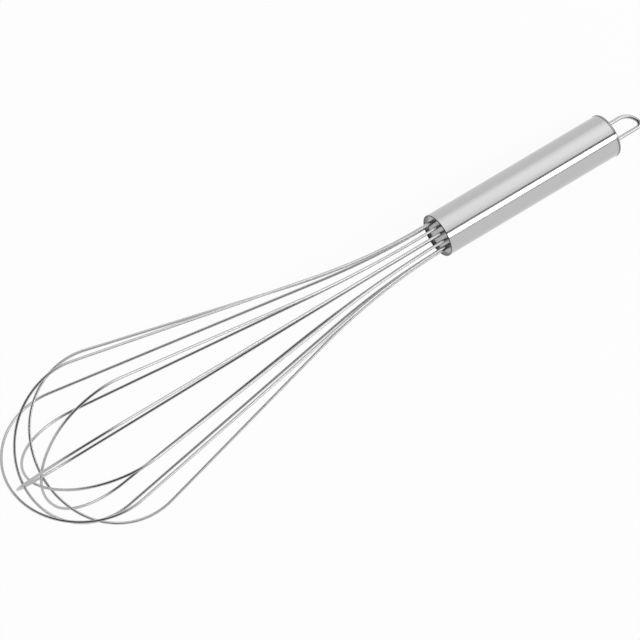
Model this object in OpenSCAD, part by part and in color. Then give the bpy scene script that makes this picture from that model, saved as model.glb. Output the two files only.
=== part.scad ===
// Balloon whisk: six round-wire loops, whose twelve legs are sealed into a plain
// tube handle with a flat end cap and a small wire hanging loop.
// It lies on the floor as it is put down: on the bellies of loops 1 and 6 and the
// back rim of the handle. The tip points towards +X and the floor is z = 0.

/* [Handle tube] */
// Outside diameter of the handle
handle_d = 24; // [22:0.2:32]
// Wall of the handle tube
handle_wall = 0.6; // [0.5:0.1:1.2]
// Length from the mouth to the back of the end cap
handle_len = 113; // [90:0.5:150]

/* [End cap] */
// Thickness of the cap's face
cap_face = 1.4; // [1.2:0.1:3]
// Rounding of the cap's outer edge
cap_edge_r = 0.9; // [0.3:0.1:1.1]
// How far the cap's rim stands proud of the tube
cap_lip = 0.2; // [0:0.1:0.5]
// Wall of the skirt that sits inside the tube
cap_wall = 0.8; // [0.5:0.1:2]
// Length of the skirt
cap_skirt_len = 7; // [4:0.5:15]

/* [Loop wire] */
// Diameter of the loop wire
wire_d = 1.5; // [1:0.1:2]
// Distance from the inside of the tube to the middle of a leg
leg_inset = 3.6; // [1.5:0.1:4.5]
// Radius of the slight outward bend where the legs leave the mouth
neck_r = 380; // [100:10:500]
// Angle from the widest place to where the tip's curve starts
shoulder_turn = 60; // [30:1:75]
// Sideways lean of the whole balloon on the handle
balloon_lean = 0.6; // [0:0.1:1.5]
// Length from the mouth to the tip of the outermost loop, on the wire's middle
balloon_len = 269.1; // [220:0.1:340]

/* [Loop 1] */
// Angle of the loop's plane about the handle
plane_angle_1 = 1.6; // [0:0.1:6]
// Half width of the loop
half_1 = 44.2; // [40:0.1:50]
// Radius of the shoulder, where the loop is widest
shoulder_r_1 = 41.7; // [36:0.1:44]
// Clear gap at the tip to the loop outside it, loop 5
tip_gap_1 = 2.8; // [0.6:0.1:4]
// Lean within the loop's own plane
lean_angle_1 = 0; // [-1:0.1:1]
// Lean out of the loop's plane
tilt_angle_1 = -0.3; // [-0.8:0.1:0.3]

/* [Loop 2] */
// Angle of the loop's plane about the handle
plane_angle_2 = 29; // [20:0.5:45]
// Half width of the loop
half_2 = 49.1; // [44:0.1:55]
// Radius of the shoulder, where the loop is widest
shoulder_r_2 = 38.2; // [36:0.1:44]
// Clear gap at the tip to the loop outside it, loop 6
tip_gap_2 = 2.3; // [1:0.1:4]
// Lean within the loop's own plane
lean_angle_2 = 0; // [-1:0.1:1]
// Lean out of the loop's plane
tilt_angle_2 = 0.4; // [-0.8:0.1:0.8]

/* [Loop 3] */
// Angle of the loop's plane about the handle
plane_angle_3 = 66; // [50:0.5:69]
// Half width of the loop
half_3 = 42.9; // [38:0.1:55]
// Radius of the shoulder, where the loop is widest
shoulder_r_3 = 41; // [36:0.1:44]
// Clear gap at the tip to the loop outside it, loop 1
tip_gap_3 = 0.6; // [0.5:0.1:4]
// Lean within the loop's own plane
lean_angle_3 = -0.8; // [-1.2:0.1:0.5]
// Lean out of the loop's plane
tilt_angle_3 = -0.5; // [-0.8:0.1:0.8]

/* [Loop 4] */
// Angle of the loop's plane about the handle
plane_angle_4 = 86.5; // [84:0.5:101]
// Half width of the loop
half_4 = 45.2; // [38:0.1:55]
// Radius of the shoulder, where the loop is widest
shoulder_r_4 = 42.7; // [36:0.1:44]
// Clear gap at the tip to the loop outside it, loop 2
tip_gap_4 = 0.6; // [0.5:0.1:4]
// Lean within the loop's own plane
lean_angle_4 = 0.1; // [-1:0.1:1]
// Lean out of the loop's plane
tilt_angle_4 = 0; // [-0.5:0.1:0.5]

/* [Loop 5] */
// Angle of the loop's plane about the handle
plane_angle_5 = 118.5; // [110:0.5:133]
// Half width of the loop
half_5 = 40.7; // [38:0.1:55]
// Radius of the shoulder, where the loop is widest
shoulder_r_5 = 43.2; // [36:0.1:44]
// Lean within the loop's own plane
lean_angle_5 = 0; // [-0.5:0.1:0.5]
// Lean out of the loop's plane
tilt_angle_5 = -0.4; // [-0.5:0.1:0.4]

/* [Loop 6] */
// Angle of the loop's plane about the handle
plane_angle_6 = 150.5; // [145:0.5:164]
// Half width of the loop
half_6 = 43.8; // [40:0.1:55]
// Radius of the shoulder, where the loop is widest
shoulder_r_6 = 42; // [36:0.1:44]
// Clear gap at the tip to the loop outside it, loop 3
tip_gap_6 = 3; // [2:0.1:6]
// Lean within the loop's own plane
lean_angle_6 = 0.2; // [-1:0.1:1]
// Lean out of the loop's plane
tilt_angle_6 = 0; // [-0.8:0.1:0.8]

/* [Mouth seal] */
// How far the seal's face lies inside the mouth
seal_recess = 1.5; // [1:0.5:8]
// Length of the seal
seal_len = 10; // [8:0.5:30]
// Depth of the shallow dish in the seal's face
seal_dish = 0.6; // [0.3:0.1:1.5]
// Width of the flat rim round the dish
seal_rim = 1; // [0.5:0.1:1.2]

/* [Wire plates] */
// Thickness of the two drilled plates
plate_t = 2; // [1.5:0.1:4]
// Distance between the two plates
plate_gap = 24; // [12:1:45]
// Diameter of the post between the plates
post_d = 6; // [5:0.5:8]
// Diameter of the post's ends, which sit in the plates
post_end_d = 4; // [2:0.5:4.5]
// Diameter of the upset head on each leg's end
leg_head_d = 2.2; // [1.9:0.1:2.6]
// Length of the upset head
leg_head_h = 1.2; // [0.8:0.1:3]

/* [Hanging loop] */
// Diameter of the hanging loop's wire
hang_wire_d = 2.2; // [1.5:0.1:2.5]
// Distance between its two legs, middle to middle
hang_spacing = 9.2; // [7.5:0.1:12]
// Sideways offset of the legs on the cap
hang_offset = 0.3; // [0:0.1:1.5]
// Distance from the cap to the far end of the loop, on the wire's middle
hang_reach = 19.7; // [15:0.1:30]
// Radius of the slow bend on the first side
hang_slow_r = 10; // [7:0.5:11]
// Angle of the slow bend
hang_slow_turn = 64; // [30:1:70]
// Thickness of the plate that anchors the loop inside the cap
anchor_t = 1.5; // [1:0.1:3]
// Diameter of the anchor plate
anchor_d = 17; // [16.5:0.5:18]
// Diameter of the upset heads behind the anchor plate
hang_head_d = 3.4; // [3:0.1:4]
// Length of the upset heads
hang_head_h = 1.5; // [1:0.1:3]

/* [Fits] */
// Clearance round a wire where it passes a piece
wire_clearance = 0.05; // [0.03:0.01:0.12]
// Clearance between the tube and what sits inside it
tube_clearance = 0.05; // [0.03:0.01:0.12]
// Clearance between faces that stop against each other
face_clearance = 0.05; // [0.02:0.01:0.12]

/* [Hidden] */
$fn = 96;

// How far a cut runs past the face that it opens
overrun = 0.5;
// Each length of a bent wire is thinner than the next by this much on the radius,
// and runs on into it by this much, so that the lengths make one solid
wire_step = 0.02;
wire_join = 0.2;

bore_r = handle_d / 2 - handle_wall;
cap_r = handle_d / 2 + cap_lip;
leg_ring_r = bore_r - leg_inset;
wire_r = wire_d / 2;
inner_r = bore_r - tube_clearance;

// Places along the handle, counted back from the mouth
seal_back = seal_recess + seal_len;
front_plate_at = seal_back + face_clearance;
post_at = front_plate_at + plate_t;
rear_plate_at = post_at + plate_gap;
leg_len = rear_plate_at + plate_t + face_clearance + leg_head_h;
anchor_at = cap_face + face_clearance;

turns = [plane_angle_1, plane_angle_2, plane_angle_3, plane_angle_4, plane_angle_5, plane_angle_6];
halves = [half_1, half_2, half_3, half_4, half_5, half_6];
shoulders = [shoulder_r_1, shoulder_r_2, shoulder_r_3, shoulder_r_4, shoulder_r_5, shoulder_r_6];
leans = [lean_angle_1, lean_angle_2, lean_angle_3, lean_angle_4, lean_angle_5, lean_angle_6];
tilts = [tilt_angle_1, tilt_angle_2, tilt_angle_3, tilt_angle_4, tilt_angle_5, tilt_angle_6];

// The loops nest at the tip, from outside to inside: 5, 1, 3, 6, 2, 4
reach_5 = balloon_len;
reach_1 = reach_5 - wire_d - tip_gap_1;
reach_3 = reach_1 - wire_d - tip_gap_3;
reach_6 = reach_3 - wire_d - tip_gap_6;
reach_2 = reach_6 - wire_d - tip_gap_2;
reach_4 = reach_2 - wire_d - tip_gap_4;
reaches = [reach_1, reach_2, reach_3, reach_4, reach_5, reach_6];
all_loops = [0:len(turns) - 1];

// Half of a loop: a straight leg, the neck's arc outwards, a straight flare, the
// shoulder's arc through the widest place, and the tip's arc, centred on the axis
tip_radii = [for (i = all_loops) (halves[i] - shoulders[i] * (1 - cos(shoulder_turn))) / cos(shoulder_turn)];
widest_at = [for (i = all_loops) reaches[i] - shoulders[i] - (halves[i] - shoulders[i]) * tan(45 - shoulder_turn / 2)];
arc_offsets = [for (i = all_loops) halves[i] - shoulders[i] - leg_ring_r - neck_r];
flare_lens = [for (i = all_loops) sqrt(pow(widest_at[i], 2) + pow(arc_offsets[i], 2) - pow(shoulders[i] + neck_r, 2))];
flares = [for (i = all_loops) atan2(arc_offsets[i], widest_at[i]) + atan((shoulders[i] + neck_r) / flare_lens[i])];

// A bent wire is a list of lengths: ["line", length, 0] or ["arc", radius, angle],
// where a positive radius turns towards +X and a negative one towards -X
function loop_path(i) =
  let(
    side = ["line", flare_lens[i], 0],
    shoulder = ["arc", -shoulders[i], flares[i] + shoulder_turn],
    tip = ["arc", -tip_radii[i], 180 - 2 * shoulder_turn],
    neck = ["arc", neck_r, flares[i]],
    leg = ["line", leg_len, 0]
  )
  [leg, neck, side, shoulder, tip, shoulder, side, neck, leg];

// The hanging loop has a slow bend on one side and a quick one on the other
hang_quick_r = (hang_spacing - hang_slow_r * (1 - cos(hang_slow_turn))) / (1 + cos(hang_slow_turn));
hang_first = hang_reach - hang_quick_r - (hang_slow_r - hang_quick_r) * sin(hang_slow_turn);
hang_second = hang_first + (hang_slow_r - hang_quick_r) * sin(hang_slow_turn);
hang_leg = anchor_at + anchor_t + face_clearance + hang_head_h;
hang_path = [
  ["line", hang_leg + hang_first, 0],
  ["arc", hang_slow_r, hang_slow_turn],
  ["arc", hang_quick_r, 180 - hang_slow_turn],
  ["line", hang_second + hang_leg, 0]
];

// How the whisk lies. Directions are turned into a loop's own frame and back
function about_x(v, a) = [v.x, v.y * cos(a) - v.z * sin(a), v.y * sin(a) + v.z * cos(a)];
function about_y(v, a) = [v.x * cos(a) + v.z * sin(a), v.y, v.z * cos(a) - v.x * sin(a)];
function about_z(v, a) = [v.x * cos(a) - v.y * sin(a), v.x * sin(a) + v.y * cos(a), v.z];
function into_loop(v, i) =
  about_x(about_y(about_z(about_x(v, balloon_lean), -turns[i]), -leans[i]), tilts[i]);
function from_loop(v, i) =
  about_x(about_z(about_y(about_x(v, -tilts[i]), leans[i]), turns[i]), -balloon_lean);

// The furthest point of a loop's shoulder or of its tip in a direction
function shoulder_point(i, dir) =
  let(
    d = into_loop(dir, i),
    flat = norm([d.x, d.z]),
    out = halves[i] - shoulders[i] + shoulders[i] * abs(d.x) / flat,
    along = widest_at[i] + shoulders[i] * d.z / flat
  )
  from_loop([sign(d.x) * out, 0, along] + wire_r * d, i);
function tip_point(i, dir) =
  let(
    d = into_loop(dir, i),
    flat = norm([d.x, d.z]),
    r = tip_radii[i]
  )
  from_loop([r * d.x / flat, 0, reaches[i] - r + r * d.z / flat] + (wire_r - wire_step) * d, i);
function rim_point(dir) =
  (cap_r - cap_edge_r) * [dir.x, dir.y, 0] / norm([dir.x, dir.y])
    + [0, 0, cap_edge_r - handle_len] + cap_edge_r * dir;
function unit(v) = v / norm(v);

// The direction that is down: square to the plane through the three points on which
// the whisk lies, on loops 1 and 6 and the cap, found again from each better guess
function settle(down, times) =
  let(
    a = shoulder_point(0, down),
    b = shoulder_point(5, down),
    c = rim_point(down),
    square = unit(cross(b - a, c - a))
  )
  times == 0 ? down : settle(square * sign(square * down), times - 1);
first_guess = about_z([1, 0, 0], (plane_angle_1 + plane_angle_6 - 180) / 2);
down = settle(first_guess, 8);
rest_turn_angle = atan2(down.y, down.x);
rest_rise_angle = asin(-down.z);
rest_height = max([for (i = all_loops) shoulder_point(i, down) * down]);

// The middle of the room that the whisk takes up on the floor
forward = [cos(rest_turn_angle) * sin(rest_rise_angle), sin(rest_turn_angle) * sin(rest_rise_angle), cos(rest_rise_angle)];
side = [-sin(rest_turn_angle), cos(rest_turn_angle), 0];
hang_middle = [0, hang_offset + hang_spacing / 2 - hang_quick_r, hang_quick_r - hang_reach - handle_len];
back_end = hang_middle * -forward + hang_quick_r * norm([forward.y, forward.z]) + hang_wire_d / 2;
front_end = max([for (i = all_loops) tip_point(i, forward) * forward]);
left_end = max([for (i = all_loops) shoulder_point(i, side) * side]);
right_end = max([for (i = all_loops) shoulder_point(i, -side) * -side]);

module on_floor() {
  translate([(back_end - front_end) / 2, (right_end - left_end) / 2, rest_height])
    rotate([0, 90 - rest_rise_angle, 0])
      rotate([0, 0, -rest_turn_angle])
        children();
}

module in_loop(i) {
  rotate([-balloon_lean, 0, 0])
    rotate([0, 0, turns[i]])
      rotate([-tilts[i], leans[i], 0])
        children();
}

// One arc of wire, starting at the origin towards +Z
module wire_arc(radius, angle, r) {
  translate([radius, 0, 0])
    rotate([90, 0, 0])
      mirror([radius > 0 ? 1 : 0, 0, 0])
        rotate_extrude(angle = angle)
          translate([abs(radius), 0])
            circle(r = r);
}

// Bent wire along a path; the child is drawn where the path ends
module bent_wire(path, r, i = 0) {
  own_r = i % 2 == 0 ? r - wire_step : r;
  join = i < len(path) - 1 ? wire_join : 0;
  if (i == len(path)) {
    children();
  } else if (path[i][0] == "line") {
    cylinder(r = own_r, h = path[i][1] + join);
    translate([0, 0, path[i][1]])
      bent_wire(path, r, i + 1)
        children();
  } else {
    radius = path[i][1];
    angle = path[i][2];
    wire_arc(radius, angle + join / abs(radius) * 180 / PI, own_r);
    translate([radius, 0, 0])
      rotate([0, sign(radius) * angle, 0])
        translate([-radius, 0, 0])
          bent_wire(path, r, i + 1)
            children();
  }
}

module wire_loop(i) {
  color("silver")
    on_floor()
      in_loop(i)
        translate([leg_ring_r, 0, -leg_len]) {
          cylinder(d = leg_head_d, h = leg_head_h);
          bent_wire(loop_path(i), wire_r)
            translate([0, 0, -leg_head_h])
              cylinder(d = leg_head_d, h = leg_head_h);
        }
}

// The holes for all legs, between two depths in the handle
module leg_holes(near, far) {
  for (i = all_loops)
    for (across = [-leg_ring_r, leg_ring_r])
      in_loop(i)
        translate([across, 0, -far - overrun])
          cylinder(r = wire_r + wire_clearance, h = far - near + 2 * overrun);
}

module handle_tube() {
  color("lightsteelblue")
    on_floor()
      rotate_extrude() {
        translate([bore_r, cap_face - handle_len])
          square([handle_wall, handle_len - cap_face - handle_wall / 2]);
        translate([bore_r + handle_wall / 2, -handle_wall / 2])
          circle(d = handle_wall);
      }
}

module end_cap() {
  color("gainsboro")
    on_floor()
      difference() {
        union() {
          translate([0, 0, -handle_len])
            intersection() {
              rotate_extrude() {
                translate([cap_r - cap_edge_r, cap_edge_r])
                  circle(r = cap_edge_r);
                square([cap_r - cap_edge_r, cap_face]);
                translate([0, cap_edge_r])
                  square([cap_r, cap_face - cap_edge_r]);
              }
              translate([0, 0, -overrun])
                cylinder(r = cap_r + overrun, h = cap_face + overrun);
            }
          translate([0, 0, -handle_len])
            cylinder(r = inner_r, h = cap_face + cap_skirt_len);
        }
        translate([0, 0, cap_face - handle_len])
          cylinder(r = inner_r - cap_wall, h = cap_skirt_len + overrun);
        hang_holes(-handle_len, cap_face);
      }
}

module hang_holes(from, depth) {
  for (across = [hang_offset - hang_spacing / 2, hang_offset + hang_spacing / 2])
    translate([0, across, from - overrun])
      cylinder(d = hang_wire_d + 2 * wire_clearance, h = depth + 2 * overrun);
}

module loop_anchor_plate() {
  color("darkgray")
    on_floor()
      difference() {
        translate([0, 0, anchor_at - handle_len])
          cylinder(d = anchor_d, h = anchor_t);
        hang_holes(anchor_at - handle_len, anchor_t);
      }
}

module hanging_loop() {
  color("silver")
    on_floor()
      translate([0, hang_offset - hang_spacing / 2, hang_leg - handle_len])
        rotate([180, 0, 90]) {
          cylinder(d = hang_head_d, h = hang_head_h);
          bent_wire(hang_path, hang_wire_d / 2)
            translate([0, 0, -hang_head_h])
              cylinder(d = hang_head_d, h = hang_head_h);
        }
}

module mouth_seal() {
  dish_edge = inner_r - seal_rim;
  dish_r = (pow(dish_edge, 2) + pow(seal_dish, 2)) / (2 * seal_dish);
  color("dimgray")
    on_floor()
      difference() {
        translate([0, 0, -seal_back])
          cylinder(r = inner_r, h = seal_len);
        translate([0, 0, dish_r - seal_dish - seal_recess])
          sphere(r = dish_r);
        leg_holes(seal_recess, seal_back);
      }
}

module wire_plate(at) {
  color("darkgray")
    on_floor()
      difference() {
        translate([0, 0, -at - plate_t])
          cylinder(r = inner_r, h = plate_t);
        translate([0, 0, -at - plate_t - overrun])
          cylinder(d = post_end_d + 2 * wire_clearance, h = plate_t + 2 * overrun);
        leg_holes(at, at + plate_t);
      }
}

module front_wire_plate() {
  wire_plate(front_plate_at);
}

module rear_wire_plate() {
  wire_plate(rear_plate_at);
}

module plate_post() {
  color("darkgray")
    on_floor() {
      translate([0, 0, -rear_plate_at + face_clearance])
        cylinder(d = post_d, h = plate_gap - 2 * face_clearance);
      translate([0, 0, -rear_plate_at - plate_t])
        cylinder(d = post_end_d, h = plate_gap + 2 * plate_t);
    }
}

module wire_loop_1() { wire_loop(0); }
module wire_loop_2() { wire_loop(1); }
module wire_loop_3() { wire_loop(2); }
module wire_loop_4() { wire_loop(3); }
module wire_loop_5() { wire_loop(4); }
module wire_loop_6() { wire_loop(5); }

handle_tube();
end_cap();
hanging_loop();
loop_anchor_plate();
mouth_seal();
front_wire_plate();
rear_wire_plate();
plate_post();
wire_loop_1();
wire_loop_2();
wire_loop_3();
wire_loop_4();
wire_loop_5();
wire_loop_6();
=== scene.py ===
"""A balloon whisk of stainless steel: six wire loops sealed into a plain tube handle.
It lies on a pale studio floor and is seen from above, as in the photograph."""

import math

import bmesh
import bpy
from mathutils import Matrix, Vector


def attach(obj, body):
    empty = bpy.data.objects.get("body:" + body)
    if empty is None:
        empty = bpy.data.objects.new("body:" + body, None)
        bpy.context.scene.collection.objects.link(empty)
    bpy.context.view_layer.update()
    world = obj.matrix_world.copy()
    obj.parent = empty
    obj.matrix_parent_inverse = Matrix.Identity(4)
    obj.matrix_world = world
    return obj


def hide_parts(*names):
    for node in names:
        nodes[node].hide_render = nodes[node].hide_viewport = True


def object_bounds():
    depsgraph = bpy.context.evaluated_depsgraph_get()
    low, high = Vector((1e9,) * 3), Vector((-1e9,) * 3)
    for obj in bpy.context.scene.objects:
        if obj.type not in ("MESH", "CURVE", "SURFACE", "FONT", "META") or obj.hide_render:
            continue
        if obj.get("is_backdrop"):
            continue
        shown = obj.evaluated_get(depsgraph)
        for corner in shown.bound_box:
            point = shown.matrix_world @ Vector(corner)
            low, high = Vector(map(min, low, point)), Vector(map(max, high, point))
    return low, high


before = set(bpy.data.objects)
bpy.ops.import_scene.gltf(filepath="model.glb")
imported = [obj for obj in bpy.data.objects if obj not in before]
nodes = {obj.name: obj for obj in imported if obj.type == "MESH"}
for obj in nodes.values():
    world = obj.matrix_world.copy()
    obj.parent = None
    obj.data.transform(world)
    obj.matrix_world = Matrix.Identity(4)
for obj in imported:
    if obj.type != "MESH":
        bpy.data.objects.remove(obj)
cad_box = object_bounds()
scene = bpy.context.scene

MM = 0.001


def turned(axis, degrees):
    return Matrix.Rotation(math.radians(degrees), 3, axis)


# How the whisk lies: the middle of the handle's mouth, and the turns that bring its own
# directions into the row frame. Its own z runs along the handle, towards the tip
MOUTH = Vector((-67.7626, -1.4986, 22.3555)) * MM
LIE = turned("Y", 84.77821) @ turned("Z", 16.026)
TIP_WAY = LIE @ Vector((0, 0, 1))

# The main sizes, in millimetres and degrees, as in the part's source
WIRE_RADIUS, LOOP_HEAD_RADIUS, LOOP_HEAD_LENGTH = 0.75, 1.1, 1.2
LEG_RING, LEG_LENGTH, NECK_RADIUS, SHOULDER_TURN = 7.8, 40.8, 380, 60
BALLOON_LEAN = 0.6
# For each loop: the angle of its plane, half width, shoulder radius, reach, lean and tilt
LOOPS = [
    (1.6, 44.2, 41.7, 264.8, 0, -0.3),
    (29, 49.1, 38.2, 254.4, 0, 0.4),
    (66, 42.9, 41, 262.7, -0.8, -0.5),
    (86.5, 45.2, 42.7, 252.3, 0.1, 0),
    (118.5, 40.7, 43.2, 269.1, 0, -0.4),
    (150.5, 43.8, 42, 258.2, 0.2, 0),
]
HANDLE_RADIUS, HANDLE_WALL, HANDLE_LENGTH = 12, 0.6, 113
CAP_RADIUS, CAP_FACE, CAP_EDGE, CAP_WALL, CAP_SKIRT = 12.2, 1.4, 0.9, 0.8, 7
HANG_RADIUS, HANG_HEAD_RADIUS, HANG_HEAD_LENGTH = 1.1, 1.7, 1.5
HANG_SPACING, HANG_OFFSET, HANG_REACH, HANG_LEG = 9.2, 0.3, 19.7, 4.5
HANG_SLOW, HANG_TURN = 10, 64
# The clearance between pieces that slide together
SLIDE = 0.05
# Every second stretch of a wire is this much thinner in the CAD
WIRE_STEP = 0.02

# The photograph's view: how the handle slants in the picture, how far the view is tipped
# towards the loops, and where the mouth lies from the middle of the picture
HANDLE_SLANT = math.radians(30.8)
VIEW_TIP = math.radians(21.335)
MOUTH_FROM_MIDDLE = (60.915 * MM, 43.706 * MM)
CAMERA_DISTANCE = 2840.3 * MM
CAMERA_LENS = 307.36
SENSOR_WIDTH = 36
CAMERA_RANGE = 50


def camera_directions():
    """Right, up and towards the camera, in the row frame."""
    slant_s, slant_c = math.sin(HANDLE_SLANT), math.cos(HANDLE_SLANT)
    tip_s, tip_c = math.sin(VIEW_TIP), math.cos(VIEW_TIP)
    right = Vector((-tip_s * slant_c, slant_s, -slant_c * tip_c))
    up = Vector((-tip_s * slant_s, -slant_c, -slant_s * tip_c))
    toward = Vector((-tip_c, 0, tip_s))
    return LIE @ right, LIE @ up, LIE @ toward


RIGHT, UP, TOWARD = camera_directions()


def make_camera():
    data = bpy.data.cameras.new("camera")
    data.lens = CAMERA_LENS
    data.sensor_width = SENSOR_WIDTH
    data.clip_end = CAMERA_RANGE
    camera = bpy.data.objects.new("camera", data)
    scene.collection.objects.link(camera)
    across, above = MOUTH_FROM_MIDDLE
    place = MOUTH - across * RIGHT - above * UP + CAMERA_DISTANCE * TOWARD
    turn = Matrix((RIGHT, UP, TOWARD)).transposed().to_4x4()
    camera.matrix_world = Matrix.Translation(place) @ turn
    scene.camera = camera


make_camera()
scene.view_settings.view_transform = "Standard"


# Shader nodes
class Shader:
    """Short ways to place and join the nodes of one material, world or group."""

    def __init__(self, tree):
        self.tree = tree

    def node(self, kind, inputs=None, **settings):
        node = self.tree.nodes.new(kind)
        for name, value in settings.items():
            setattr(node, name, value)
        for name, value in (inputs or {}).items():
            self.feed(node.inputs[name], value)
        return node

    def feed(self, socket, value):
        if isinstance(value, bpy.types.NodeSocket):
            self.tree.links.new(value, socket)
        else:
            socket.default_value = value

    def math(self, operation, first, second=0.0):
        node = self.node("ShaderNodeMath", operation=operation)
        self.feed(node.inputs[0], first)
        self.feed(node.inputs[1], second)
        return node.outputs[0]

    def between(self, share, first, second):
        """The value that lies this share of the way from first to second."""
        node = self.node("ShaderNodeMix", {0: share, 2: first, 3: second})
        return node.outputs[0]

    def colour_between(self, share, first, second):
        node = self.node("ShaderNodeMix", {0: share, 6: first, 7: second}, data_type="RGBA")
        return node.outputs[2]

    def finish(self, surface, output="ShaderNodeOutputMaterial"):
        out = self.node(output)
        self.tree.links.new(surface.outputs[0], out.inputs["Surface"])


def empty_tree(owner):
    owner.use_nodes = True
    owner.node_tree.nodes.clear()
    return Shader(owner.node_tree)


def new_material(name):
    material = bpy.data.materials.new(name)
    return material, empty_tree(material)


def grey(value):
    return (value, value, value, 1)


# The studio. Distances are in metres and angles in degrees
WHITE = 1.0
FILL = 0.75
FLOOR_GREY, FLOOR_GLOW, FLOOR_HALF = 0.9, 0.93, 30
ROOM_RADIUS = 5.0
FLAP_DISTANCE, FLAP_BACK, FLAP_SOFT = 0.68, (0.18, 0.92), 0.2


def seen_directly(shader):
    """One for the camera, reflections and clear pieces, and nought for light that falls."""
    path = shader.node("ShaderNodeLightPath").outputs
    first = shader.math("MAXIMUM", path["Is Camera Ray"], path["Is Glossy Ray"])
    return shader.math("MAXIMUM", first, path["Is Transmission Ray"])


def make_world():
    world = bpy.data.worlds.new("studio")
    scene.world = world
    shader = empty_tree(world)
    strength = shader.between(seen_directly(shader), FILL, WHITE)
    back = shader.node("ShaderNodeBackground", {"Color": grey(WHITE), "Strength": strength})
    shader.finish(back, "ShaderNodeOutputWorld")


def make_floor():
    half = FLOOR_HALF
    corners = [(-half, -half, 0), (half, -half, 0), (half, half, 0), (-half, half, 0)]
    mesh = bpy.data.meshes.new("studio_floor")
    mesh.from_pydata(corners, [], [(0, 1, 2, 3)])
    floor = bpy.data.objects.new("studio_floor", mesh)
    scene.collection.objects.link(floor)
    material, shader = new_material("pale_floor")
    matte = shader.node("ShaderNodeBsdfDiffuse", {"Color": grey(FLOOR_GREY)})
    glow = shader.node("ShaderNodeEmission", {"Color": grey(WHITE), "Strength": 1.0})
    share = shader.math("MULTIPLY", seen_directly(shader), FLOOR_GLOW)
    mix = shader.node("ShaderNodeMixShader", {0: share, 1: matte.outputs[0], 2: glow.outputs[0]})
    shader.finish(mix)
    mesh.materials.append(material)
    floor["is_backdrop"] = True


def show_in_reflections(name, points, faces, cover, tone):
    """A glowing card that hides nothing and lights nothing; cover is its density."""
    mesh = bpy.data.meshes.new(name)
    mesh.from_pydata(points, [], faces)
    mesh.attributes.new("cover", "FLOAT", "POINT").data.foreach_set("value", cover)
    card = bpy.data.objects.new(name, mesh)
    scene.collection.objects.link(card)
    material, shader = new_material(name)
    clear = shader.node("ShaderNodeBsdfTransparent")
    glow = shader.node("ShaderNodeEmission", {"Color": grey(tone), "Strength": 1.0})
    share = shader.node("ShaderNodeAttribute", attribute_name="cover").outputs["Fac"]
    mix = shader.node("ShaderNodeMixShader", {0: share, 1: clear.outputs[0], 2: glow.outputs[0]})
    shader.finish(mix)
    mesh.materials.append(material)
    card.visible_camera = False
    card.visible_diffuse = False
    card.visible_shadow = False
    card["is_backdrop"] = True


def seen_at(across, above):
    """The direction at these angles to the right of the camera's and above it."""
    off = math.hypot(across, above)
    side = math.sin(math.radians(off)) / off
    return side * across * RIGHT + side * above * UP + math.cos(math.radians(off)) * TOWARD


def make_oval_card(name, origin, middle, half_size, turn, distance, tone, soft):
    """A curved oval card round an origin, soft at its rim."""
    rings, spokes = 24, 96
    cos_t, sin_t = math.cos(math.radians(turn)), math.sin(math.radians(turn))
    points, cover = [], []
    for i in range(rings + 1):
        reach = i / rings
        for j in range(spokes):
            a = math.tau * j / spokes
            x, y = half_size[0] * reach * math.cos(a), half_size[1] * reach * math.sin(a)
            across = middle[0] + x * cos_t - y * sin_t
            above = middle[1] + x * sin_t + y * cos_t
            points.append(origin + distance * seen_at(across, above))
            cover.append(min(1.0, (1 - reach) / soft))
    faces = [
        (i * spokes + j, i * spokes + (j + 1) % spokes,
         (i + 1) * spokes + (j + 1) % spokes, (i + 1) * spokes + j)
        for i in range(rings)
        for j in range(spokes)
    ]
    show_in_reflections(name, points, faces, cover, tone)


def about_handle(angle, distance, back):
    """The place at an angle about the handle from the camera's side, at a distance from
    its axis and so far behind its mouth. Positive angles lie below it in the picture."""
    a = math.radians(angle)
    return MOUTH + LIE @ Vector((-distance * math.cos(a), distance * math.sin(a), -back))


def make_panel(name, angles, back, distance, tone, soft):
    """A card bent round the handle's axis, soft at its long edges."""
    steps = 24
    first, last = angles
    points, cover = [], []
    for i in range(steps + 1):
        share = i / steps
        for end in back:
            points.append(about_handle(first + (last - first) * share, distance, end))
            cover.append(min(1.0, min(share, 1 - share) / soft))
    faces = [(2 * i, 2 * i + 1, 2 * i + 3, 2 * i + 2) for i in range(steps)]
    show_in_reflections(name, points, faces, cover, tone)


def make_flap(name, angles, tone):
    """A card along one edge of the lamp, which draws the edge of its reflection."""
    make_panel(name, angles, FLAP_BACK, FLAP_DISTANCE, tone, FLAP_SOFT)


def make_lamp(name, angle, distance, back, width, length, radiance):
    """A softbox beside the handle, parallel to it and facing it."""
    data = bpy.data.lights.new(name, "AREA")
    data.shape = "RECTANGLE"
    data.size = width
    data.size_y = length
    data.energy = radiance * math.pi * width * length
    lamp = bpy.data.objects.new(name, data)
    scene.collection.objects.link(lamp)
    place = about_handle(angle, distance, back)
    away = (place - about_handle(angle, 0, back)).normalized()
    turn = Matrix((TIP_WAY.cross(away), TIP_WAY, away)).transposed().to_4x4()
    lamp.matrix_world = Matrix.Translation(place) @ turn
    lamp.visible_camera = False


def make_room():
    """What the polished steel mirrors. The ceiling darkens the far wires, the screen
    whitens the near ones, the wall lights the handle and the doorway draws the cap's edge."""
    make_panel("dark_ceiling", (-60, 60), (-8.7, 1.15), ROOM_RADIUS, tone=0.02, soft=0.05)
    make_panel("bright_wall", (-80, 8), (1.87, 2.7), ROOM_RADIUS, tone=1.42, soft=0.35)
    make_panel("bright_screen", (-55, 55), (2.7, 5.5), ROOM_RADIUS, tone=1.9, soft=0.15)
    make_oval_card(
        "dark_doorway",
        origin=MOUTH - HANDLE_LENGTH * MM * TIP_WAY,
        middle=(68, 40),
        half_size=(28, 17),
        turn=31,
        distance=0.4,
        tone=0.05,
        soft=0.5,
    )


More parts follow.
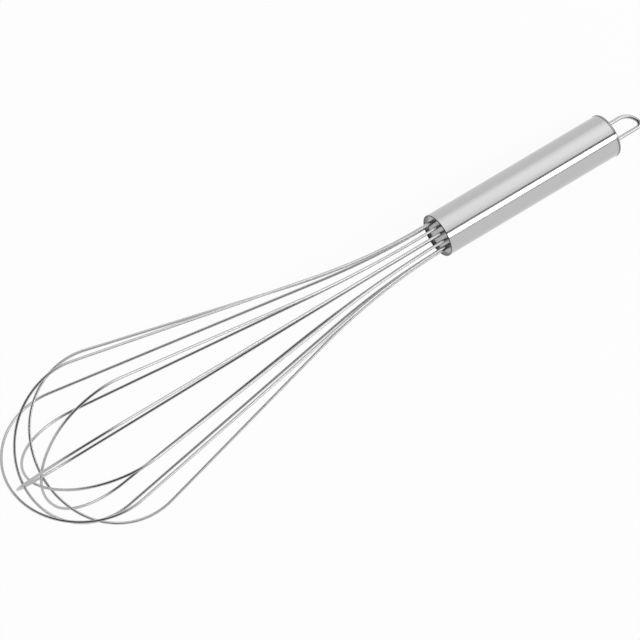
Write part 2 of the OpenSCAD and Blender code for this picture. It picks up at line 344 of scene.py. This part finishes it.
make_world()
make_floor()
make_room()
make_flap("lamp_top_edge", (7, 18.9), tone=0.12)
make_flap("lamp_low_edge", (38.4, 46), tone=0.5)
make_lamp(
    "strip_light", angle=28.6, distance=0.7, back=0.55, width=0.242, length=0.7, radiance=2.8
)


# Finishes. A stretch is about the number of grain lines in a metre along x, y and z
ALONG, ROUND = (2600.0, 2600.0, 12.0), (2600.0, 2600.0, 900.0)
PLATE_GRAIN, POST_GRAIN = (1500.0, 1500.0, 60.0), (60.0, 1500.0, 1500.0)
PLUG_GRAIN, BLANK_GRAIN = (900.0, 900.0, 900.0), (700.0, 700.0, 700.0)
# The lines are this share as bright as the steel between them
LINE_TONE = 0.9


def new_group(name, inputs, outputs):
    group = bpy.data.node_groups.new(name, "ShaderNodeTree")
    for label, kind in inputs:
        group.interface.new_socket(
            name=label, in_out="INPUT", socket_type="NodeSocket" + kind
        )
    for label, kind in outputs:
        group.interface.new_socket(
            name=label, in_out="OUTPUT", socket_type="NodeSocket" + kind
        )
    shader = Shader(group)
    given = shader.node("NodeGroupInput").outputs
    result = shader.node("NodeGroupOutput").inputs
    return group, shader, given, result


def make_grain_group():
    """Fine lines left by drawing and brushing the steel, and the patches of its wiping."""
    group, shader, given, result = new_group(
        "drawn_grain",
        [("Place", "Vector"), ("Stretch", "Vector")],
        [("Lines", "Float"), ("Patches", "Float")],
    )
    stretched = shader.node(
        "ShaderNodeVectorMath",
        {0: given["Place"], 1: given["Stretch"]},
        operation="MULTIPLY",
    )
    lines = shader.node(
        "ShaderNodeTexNoise",
        {"Vector": stretched.outputs[0], "Scale": 1.0, "Detail": 3.0, "Roughness": 0.6},
    )
    patches = shader.node(
        "ShaderNodeTexNoise",
        {"Vector": given["Place"], "Scale": 45.0, "Detail": 3.0, "Roughness": 0.55},
    )
    shader.feed(result["Lines"], lines.outputs["Fac"])
    shader.feed(result["Patches"], patches.outputs["Fac"])
    return group


def make_painted_reflection_group():
    """Cover for a painted dark reflection: one past a place along the handle and outside a
    radius, and nought elsewhere.
    """
    group, shader, given, result = new_group(
        "painted_reflection_cover",
        [("Place", "Vector"), ("Way", "Float"), ("Limit", "Float"), ("Radius", "Float")],
        [("Cover", "Float")],
    )
    x, y, z = shader.node("ShaderNodeSeparateXYZ", {"Vector": given["Place"]}).outputs
    past = shader.math("GREATER_THAN", shader.math("MULTIPLY", z, given["Way"]), given["Limit"])
    squares = shader.math("ADD", shader.math("MULTIPLY", x, x), shader.math("MULTIPLY", y, y))
    outside = shader.math("GREATER_THAN", shader.math("SQRT", squares), given["Radius"])
    shader.feed(result["Cover"], shader.math("MULTIPLY", past, outside))
    return group


GRAIN = make_grain_group()
PAINTED_REFLECTION_COVER = make_painted_reflection_group()


def steel(name, colour, roughness, stretch, depth, carried=False, edge=None):
    """Stainless steel with drawn or brushed lines so deep, in metres, and perhaps a painted
    dark reflection: a dark tone put into the colour along an edge. The lines' place is kept
    with the mesh, or is the object's own where the piece is carried over from the CAD."""
    material, shader = new_material(name)
    if carried:
        place = shader.node("ShaderNodeTexCoord").outputs["Object"]
    else:
        place = shader.node("ShaderNodeAttribute", attribute_name="grain_place").outputs["Vector"]
    grain = shader.node("ShaderNodeGroup", node_tree=GRAIN)
    shader.feed(grain.inputs["Place"], place)
    shader.feed(grain.inputs["Stretch"], stretch)
    lines, patches = grain.outputs["Lines"], grain.outputs["Patches"]
    line_colour = tuple(LINE_TONE * c for c in colour)
    tone = shader.colour_between(lines, (*colour, 1), (*line_colour, 1))
    # A painted dark reflection: the colour turns to the edge's dark tone where the mask covers
    if edge:
        cover = shader.node("ShaderNodeGroup", node_tree=PAINTED_REFLECTION_COVER)
        shader.feed(cover.inputs["Place"], place)
        for label in ("Way", "Limit", "Radius"):
            shader.feed(cover.inputs[label], edge[label])
        tone = shader.colour_between(cover.outputs["Cover"], tone, grey(edge["Tone"]))
    wiped = shader.math("ADD", lines, patches)
    bump = shader.node("ShaderNodeBump", {"Height": lines, "Strength": 0.2, "Distance": depth})
    body = shader.node(
        "ShaderNodeBsdfPrincipled",
        {
            "Base Color": tone,
            "Metallic": 1.0,
            "Roughness": shader.math("MULTIPLY", wiped, roughness),
            "Normal": bump.outputs[0],
        },
    )
    shader.finish(body)
    return material


# Painted dark reflections on the rounded edges, dark tones put into the steel's colour: past a
# place along the handle, one way or the other, and a radius
# The mouth's lip: a painted dark reflection, a near-black tone put into the steel's colour
MOUTH_LIP_PAINTED_REFLECTION = {"Way": 1, "Limit": -0.45 * MM, "Radius": 0, "Tone": 0.12}
# The cap's rounded rim: a painted dark reflection, a dark tone put into the steel's colour
CAP_RIM_PAINTED_REFLECTION = {"Way": -1, "Limit": 111.55 * MM, "Radius": 11.25 * MM, "Tone": 0.27}
TUBE_COLOUR, LOOP_COLOUR, HANG_COLOUR = (0.53, 0.535, 0.53), (0.5, 0.5, 0.497), (0.47,) * 3
PLUG_COLOUR, PLATE_COLOUR, BLANK_COLOUR = (0.47,) * 3, (0.5,) * 3, (0.48,) * 3
FINISHES = {
    "handle_steel": steel("satin_handle_steel", TUBE_COLOUR, 0.13, ALONG, 2e-6, edge=MOUTH_LIP_PAINTED_REFLECTION),
    "cap_steel": steel("satin_cap_steel", TUBE_COLOUR, 0.13, ROUND, 2e-6, edge=CAP_RIM_PAINTED_REFLECTION),
    "loop_wire": steel("drawn_loop_wire", LOOP_COLOUR, 0.28, ALONG, 2e-7),
    "hanging_wire": steel("drawn_hanging_wire", HANG_COLOUR, 0.16, ALONG, 2e-7),
}
MILLED_STEEL = steel("milled_plate_steel", PLATE_COLOUR, 0.4, PLATE_GRAIN, 4e-6, carried=True)
INNER_FINISHES = {
    "mouth_seal": steel("turned_plug_steel", PLUG_COLOUR, 0.3, PLUG_GRAIN, 3e-6, carried=True),
    "front_wire_plate": MILLED_STEEL,
    "rear_wire_plate": MILLED_STEEL,
    "plate_post": steel("turned_post_steel", PLATE_COLOUR, 0.4, POST_GRAIN, 4e-6, carried=True),
    "loop_anchor_plate": steel(
        "blanked_plate_steel", BLANK_COLOUR, 0.45, BLANK_GRAIN, 4e-6, carried=True
    ),
}


def finish_inner_pieces():
    for name, finish in INNER_FINISHES.items():
        for slot in nodes[name].material_slots:
            slot.material = finish


# Pieces. Their points are in millimetres from the handle's mouth, in its own directions
SHARP_ANGLE = math.radians(40)


def keep_piece(name, points, faces, places):
    """A finished piece in place of its CAD node of the same name."""
    mesh = bpy.data.meshes.new(name)
    mesh.from_pydata([MOUTH + LIE @ (p * MM) for p in points], [], faces)
    mesh.validate()
    bm = bmesh.new()
    bm.from_mesh(mesh)
    bmesh.ops.recalc_face_normals(bm, faces=bm.faces)
    bm.to_mesh(mesh)
    bm.free()
    mesh.shade_smooth()
    mesh.set_sharp_from_angle(angle=SHARP_ANGLE)
    grain = mesh.attributes.new("grain_place", "FLOAT_VECTOR", "POINT")
    grain.data.foreach_set("vector", [c * MM for place in places for c in place])
    piece = bpy.data.objects.new("made_" + name, mesh)
    scene.collection.objects.link(piece)
    slot = nodes[name].data.materials[0].name
    mesh.materials.append(FINISHES[slot])
    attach(piece, "root")
    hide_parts(name)


# Bent wires. A line has a point about every so many millimetres, an arc every so many degrees
LINE_STEP, ARC_STEP = 4, 1.2
WIRE_SIDES = 24
HEAD_ROUND = 0.25


def bend(path):
    """Points of a bent wire's middle line, with the heading and distance at each, and
    the stretch it is on. A line is its length; an arc is its radius and angle."""
    x = z = heading = walked = 0.0
    middle = [(x, z, heading, walked, 0)]
    for k, stretch in enumerate(path):
        if len(stretch) == 1:
            parts = max(2, round(stretch[0] / LINE_STEP))
            for _ in range(parts):
                x += math.sin(heading) * stretch[0] / parts
                z += math.cos(heading) * stretch[0] / parts
                walked += stretch[0] / parts
                middle.append((x, z, heading, walked, k))
            continue
        radius, angle = stretch
        parts = max(3, round(angle / ARC_STEP))
        turn = math.copysign(math.radians(angle) / parts, radius)
        for _ in range(parts):
            later = heading + turn
            x += radius * (math.cos(heading) - math.cos(later))
            z += radius * (math.sin(later) - math.sin(heading))
            heading = later
            walked += abs(radius * turn)
            middle.append((x, z, heading, walked, k))
    return middle


def upset_head(end, way, radius, head_radius, head_length):
    """Rings of the swollen head on a wire's end, from the end inwards."""
    x, z, heading, walked, _ = end
    dx, dz = math.sin(heading), math.cos(heading)
    marks = [(0, head_radius - HEAD_ROUND), (HEAD_ROUND, head_radius)]
    marks += [(head_length - HEAD_ROUND, head_radius), (head_length, head_radius - HEAD_ROUND)]
    marks += [(head_length, radius)]
    return [(x + way * dx * d, z + way * dz * d, heading, walked + way * d, r) for d, r in marks]


def sweep(path, radius, head_radius, head_length, thin=0.0):
    """A round wire along a path, with an upset head at each end. Every second stretch
    may be thinner."""
    middle = bend(path)
    first, last = middle[0], middle[-1]
    rings = upset_head(first, 1, radius - thin, head_radius, head_length)
    for x, z, heading, walked, k in middle:
        if head_length < walked < last[3] - head_length:
            rings.append((x, z, heading, walked, radius - (thin if k % 2 == 0 else 0)))
    rings += upset_head(last, -1, radius - thin, head_radius, head_length)[::-1]
    points, places, faces = [], [], []
    for x, z, heading, walked, r in rings:
        for j in range(WIRE_SIDES):
            a = math.tau * j / WIRE_SIDES
            out, side = r * math.cos(a), r * math.sin(a)
            points.append(Vector((x + out * math.cos(heading), side, z - out * math.sin(heading))))
            places.append((out, side, walked))
    for i in range(len(rings) - 1):
        for j in range(WIRE_SIDES):
            k = (j + 1) % WIRE_SIDES
            a, b = i * WIRE_SIDES, (i + 1) * WIRE_SIDES
            faces.append((a + j, a + k, b + k, b + j))
    faces.append(tuple(range(WIRE_SIDES)))
    faces.append(tuple(range(len(points) - WIRE_SIDES, len(points))))
    return points, faces, places


def loop_path(half, shoulder, reach):
    """Leg, neck, flare, shoulder and crown of a balloon loop, and back again."""
    turn = math.radians(SHOULDER_TURN)
    tip = (half - shoulder * (1 - math.cos(turn))) / math.cos(turn)
    widest = reach - shoulder - (half - shoulder) * math.tan(math.pi / 4 - turn / 2)
    offset = half - shoulder - LEG_RING - NECK_RADIUS
    flare_length = math.sqrt(widest**2 + offset**2 - (shoulder + NECK_RADIUS) ** 2)
    flare = math.degrees(
        math.atan2(offset, widest) + math.atan((shoulder + NECK_RADIUS) / flare_length)
    )
    neck, side = (NECK_RADIUS, flare), (flare_length,)
    bow = (-shoulder, flare + SHOULDER_TURN)
    crown = (-tip, 180 - 2 * SHOULDER_TURN)
    return [(LEG_LENGTH,), neck, side, bow, crown, bow, side, neck, (LEG_LENGTH,)]


def make_wire_loops():
    for number, (plane, half, shoulder, reach, lean, tilt) in enumerate(LOOPS, 1):
        points, faces, places = sweep(
            loop_path(half, shoulder, reach),
            WIRE_RADIUS,
            LOOP_HEAD_RADIUS,
            LOOP_HEAD_LENGTH,
            thin=WIRE_STEP,
        )
        turn = turned("X", -BALLOON_LEAN) @ turned("Z", plane)
        turn = turn @ turned("Y", lean) @ turned("X", -tilt)
        start = Vector((LEG_RING, 0, -LEG_LENGTH))
        points = [turn @ (start + p) for p in points]
        keep_piece(f"wire_loop_{number}", points, faces, places)


def make_hanging_loop():
    """A small loop with a slow bend and a quick one, at the middle of the wire's two
    thicknesses."""
    slow = math.radians(HANG_TURN)
    quick = (HANG_SPACING - HANG_SLOW * (1 - math.cos(slow))) / (1 + math.cos(slow))
    first = HANG_REACH - quick - (HANG_SLOW - quick) * math.sin(slow)
    second = first + (HANG_SLOW - quick) * math.sin(slow)
    path = [
        (HANG_LEG + first,),
        (HANG_SLOW, HANG_TURN),
        (quick, 180 - HANG_TURN),
        (HANG_LEG + second,),
    ]
    radius = HANG_RADIUS - WIRE_STEP / 2
    points, faces, places = sweep(path, radius, HANG_HEAD_RADIUS, HANG_HEAD_LENGTH)
    start = Vector((0, HANG_OFFSET - HANG_SPACING / 2, HANG_LEG - HANDLE_LENGTH))
    points = [start + Vector((p.y, p.x, -p.z)) for p in points]
    keep_piece("hanging_loop", points, faces, places)


# Turned pieces. A ring EDGE_HOLD before a rounded edge keeps the long wall's shading straight
EDGE_HOLD = 0.2
TURNED_SIDES, HOLE_SIDES = 192, 48
LIP_PARTS, EDGE_PARTS = 14, 8
HOLE_BREAK = 0.07


def lathe(profile):
    """Points and faces of a closed profile of radii and heights turned about the handle."""
    points, faces = [], []
    for r, z in profile:
        for j in range(TURNED_SIDES):
            a = math.tau * j / TURNED_SIDES
            points.append(Vector((r * math.cos(a), r * math.sin(a), z)))
    count = len(profile)
    for i in range(count):
        for j in range(TURNED_SIDES):
            a, b, k = i * TURNED_SIDES, (i + 1) % count * TURNED_SIDES, (j + 1) % TURNED_SIDES
            faces.append((a + j, a + k, b + k, b + j))
    return points, faces


def arc_points(r, z, radius, start, stop, parts):
    """Points on an arc round a middle, from one angle to another."""
    angles = [math.radians(start + (stop - start) * i / parts) for i in range(parts + 1)]
    return [(r + radius * math.cos(a), z + radius * math.sin(a)) for a in angles]


def make_handle():
    half_wall = HANDLE_WALL / 2
    back = CAP_FACE - HANDLE_LENGTH
    lip = arc_points(HANDLE_RADIUS - half_wall, -half_wall, half_wall, 0, 180, LIP_PARTS)
    held = -half_wall - EDGE_HOLD
    profile = [(HANDLE_RADIUS, back), (HANDLE_RADIUS, held)] + lip
    profile += [(HANDLE_RADIUS - HANDLE_WALL, held), (HANDLE_RADIUS - HANDLE_WALL, back)]
    points, faces = lathe(profile)
    keep_piece("handle_tube", points, faces, points)


def ring_of(bm, radius, z, across=0.0, sides=TURNED_SIDES):
    """A ring of points about the handle's axis, or about a hanging wire beside it."""
    angles = [math.tau * j / sides for j in range(sides)]
    return [bm.verts.new((radius * math.cos(a), across + radius * math.sin(a), z)) for a in angles]


def close_ring(bm, verts):
    return [
        bm.edges.get((a, b)) or bm.edges.new((a, b))
        for a, b in zip(verts, verts[1:] + verts[:1])
    ]


def join_rings(bm, rings):
    for first, second in zip(rings, rings[1:]):
        for j in range(len(first)):
            k = (j + 1) % len(first)
            bm.faces.new((first[j], first[k], second[k], second[j]))


def fill_between(bm, rings):
    """A flat face with a hole for each ring after the first."""
    edges = [edge for ring in rings for edge in close_ring(bm, ring)]
    bmesh.ops.triangle_fill(bm, edges=edges, use_beauty=True)


def make_cap():
    """A cap with a rounded back edge, a skirt inside the tube and two holes for the wire."""
    inner = HANDLE_RADIUS - HANDLE_WALL - SLIDE
    end = -HANDLE_LENGTH
    face, skirt = end + CAP_FACE, end + CAP_FACE + CAP_SKIRT
    profile = arc_points(CAP_RADIUS - CAP_EDGE, end + CAP_EDGE, CAP_EDGE, -90, 0, EDGE_PARTS)
    profile += [(CAP_RADIUS, face), (inner, face), (inner, skirt)]
    profile += [(inner - CAP_WALL, skirt), (inner - CAP_WALL, face)]
    bm = bmesh.new()
    body = [ring_of(bm, r, z) for r, z in profile]
    join_rings(bm, body)
    outside, inside = [body[0]], [body[-1]]
    hole_radius = HANG_RADIUS + SLIDE
    marks = [(hole_radius + HOLE_BREAK, end), (hole_radius, end + HOLE_BREAK)]
    marks += [(hole_radius, face)]
    for side in (-1, 1):
        across = HANG_OFFSET + side * HANG_SPACING / 2
        hole = [ring_of(bm, r, z, across, HOLE_SIDES) for r, z in marks]
        join_rings(bm, hole)
        outside.append(hole[0])
        inside.append(hole[-1])
    fill_between(bm, outside)
    fill_between(bm, inside)
    bm.verts.index_update()
    points = [v.co.copy() for v in bm.verts]
    faces = [[v.index for v in f.verts] for f in bm.faces]
    bm.free()
    keep_piece("end_cap", points, faces, points)


make_wire_loops()
make_handle()
make_cap()
make_hanging_loop()
finish_inner_pieces()

sizes = {"cad": cad_box, "visual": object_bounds()}
sizes = {name: [list(corner) for corner in box] for name, box in sizes.items()}
